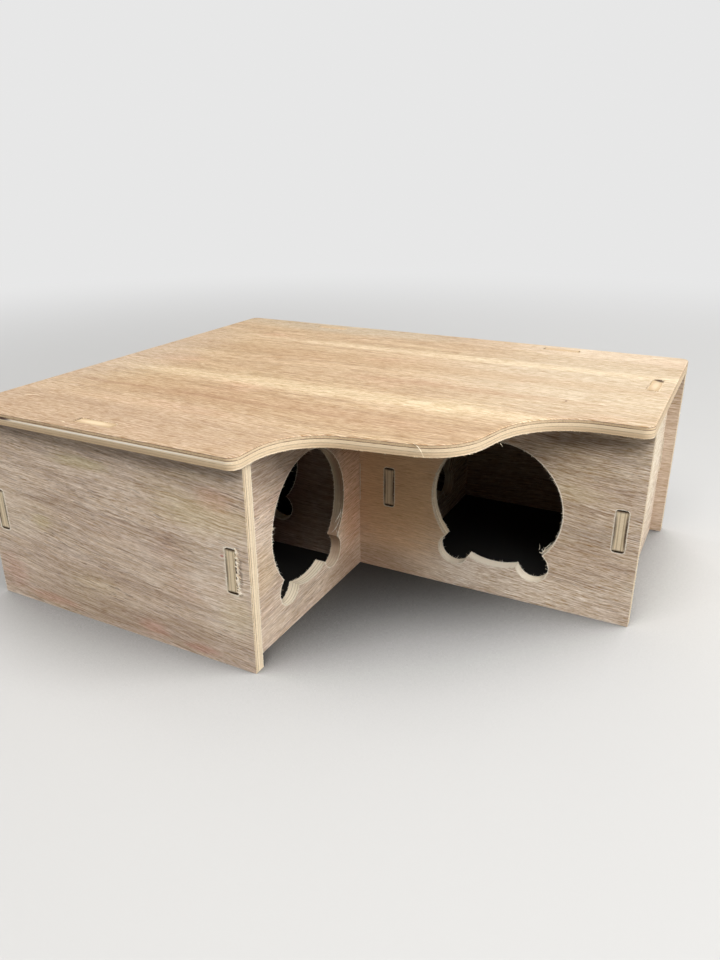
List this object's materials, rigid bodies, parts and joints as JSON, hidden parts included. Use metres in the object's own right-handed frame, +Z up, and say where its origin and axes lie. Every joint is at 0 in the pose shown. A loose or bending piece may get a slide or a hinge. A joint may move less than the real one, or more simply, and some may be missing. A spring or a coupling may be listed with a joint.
{
  "type": "wooden hamster house",
  "caption": "Low plywood hamster house with round eared doorways, tab and slot walls, an open bottom and a lift-off roof with a wavy front edge.",
  "frame": {"origin": "on the ground, under the middle of the roof's box", "axes": "+X to the right along the front, +Y from front to back, +Z up"},
  "size_m": [0.3034, 0.2508, 0.1058],
  "materials": {
    "wall_plywood": "bare, sanded",
    "roof_plywood": "bare, sanded"
  },
  "bodies": {
    "walls": {"front_wall": "wall_plywood", "inner_side_wall": "wall_plywood", "cross_wall": "wall_plywood", "divider": "wall_plywood", "right_wall": "wall_plywood", "back_wall": "wall_plywood", "left_wall": "wall_plywood"},
    "roof": {"roof": "roof_plywood"}
  },
  "joints": [
    {"name": "roof_lift", "type": "slide", "parent": "walls", "child": "roof", "axis": [0, 0, 1], "range_m": [0, 0.1]}
  ]
}
